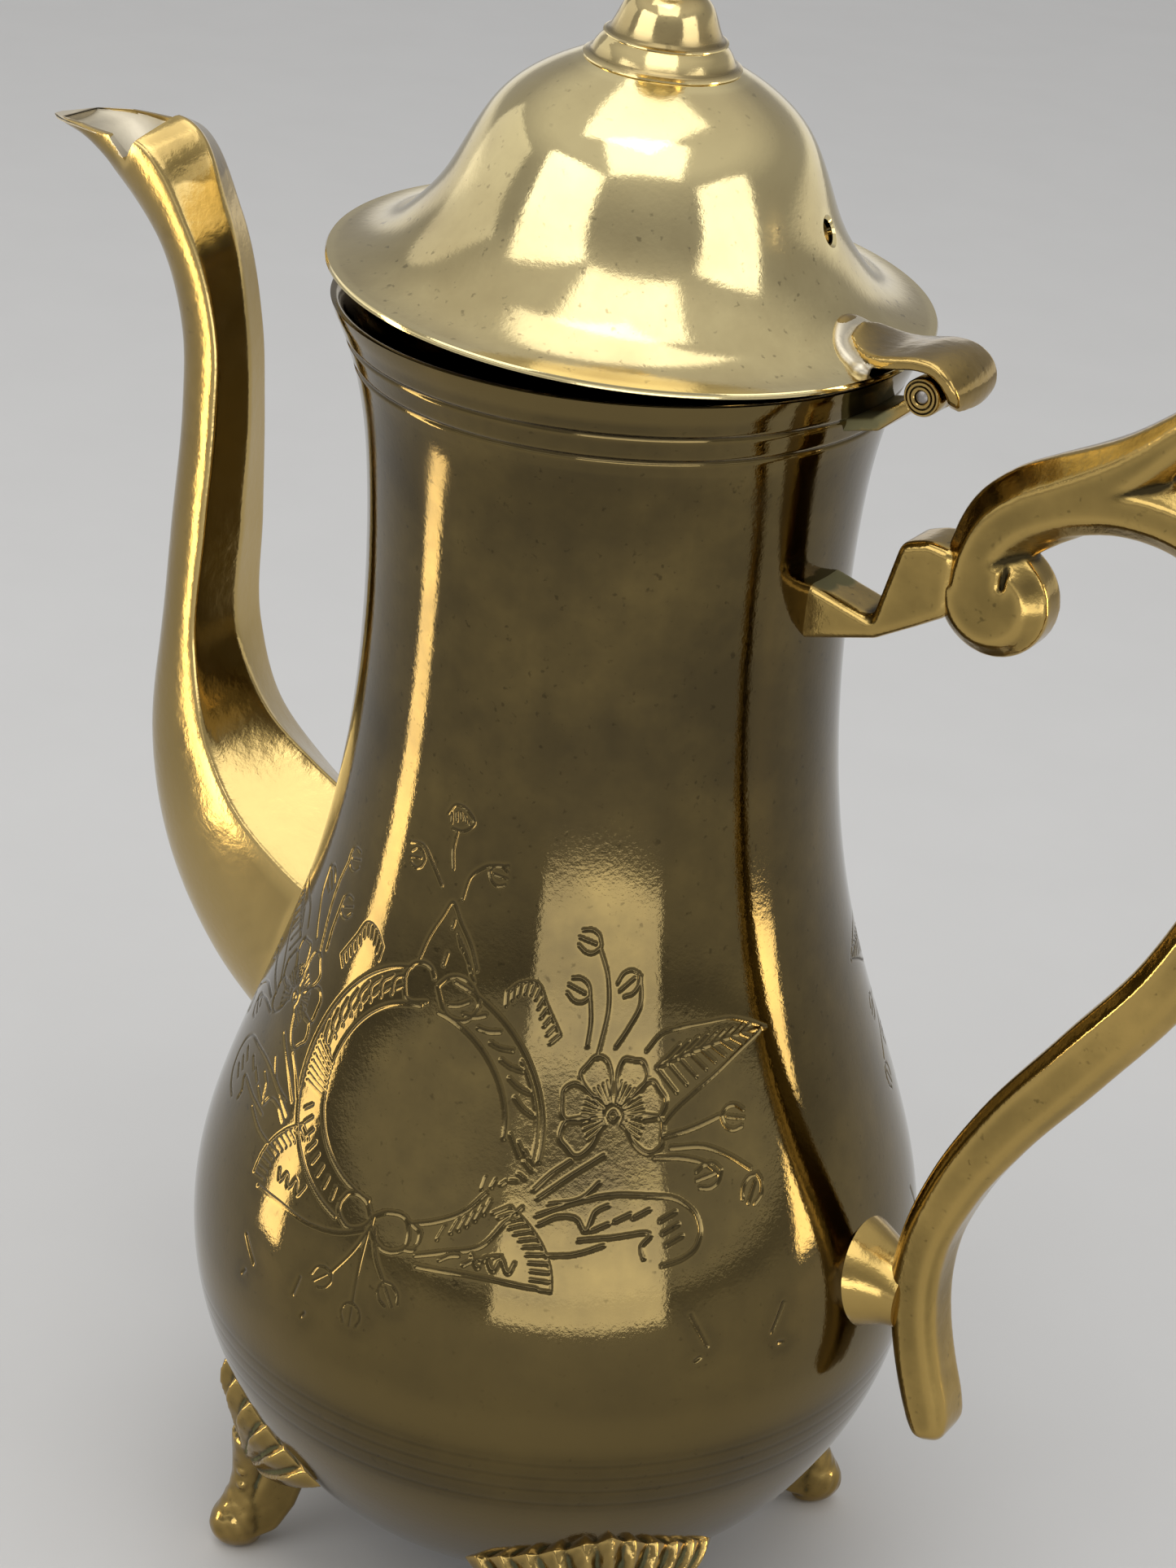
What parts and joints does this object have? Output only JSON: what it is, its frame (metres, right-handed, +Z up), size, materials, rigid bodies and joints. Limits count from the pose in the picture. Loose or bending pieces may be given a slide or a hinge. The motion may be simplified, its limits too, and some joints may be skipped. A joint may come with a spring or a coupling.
{
  "type": "coffee pot",
  "caption": "Footed pear-shaped brass coffee pot with a tall curved spout, a scroll handle held off on lugs, cast shell feet and a domed lid on a rear hinge.",
  "frame": {"origin": "on the table under the axis of the pot's body, midway between the four soles", "axes": "+Z up along the body's axis, +X towards the handle, -X towards the spout, -Y the side that the picture shows"},
  "size_m": [0.1945, 0.105, 0.2527],
  "materials": {
    "sheet_brass": "aged polished sheet with brown tarnish and fine scratches",
    "cast_brass": "aged cast brass, worn bright on the ridges and dark in the hollows",
    "steel_pin": "dull steel wire, ends peened"
  },
  "bodies": {
    "pot": {"body_shell": "sheet_brass", "base_disc": "sheet_brass", "spout": "cast_brass", "upper_handle_lug": "cast_brass", "lower_handle_lug": "cast_brass", "handle": "cast_brass", "hinge_bracket": "cast_brass", "hinge_pin": "steel_pin", "foot_front_left": "cast_brass", "foot_front_right": "cast_brass", "foot_back_left": "cast_brass", "foot_back_right": "cast_brass"},
    "lid": {"lid_shell": "sheet_brass", "lid_leaf": "cast_brass", "finial_base": "cast_brass", "finial_knob": "cast_brass", "finial_stud": "cast_brass", "finial_nut": "cast_brass"}
  },
  "joints": [
    {"name": "lid_hinge", "type": "hinge", "parent": "pot", "child": "lid", "pos_m": [0.0451, 0, 0.1944], "axis": [0, 1, 0], "range_deg": [-3.4, 100]}
  ]
}
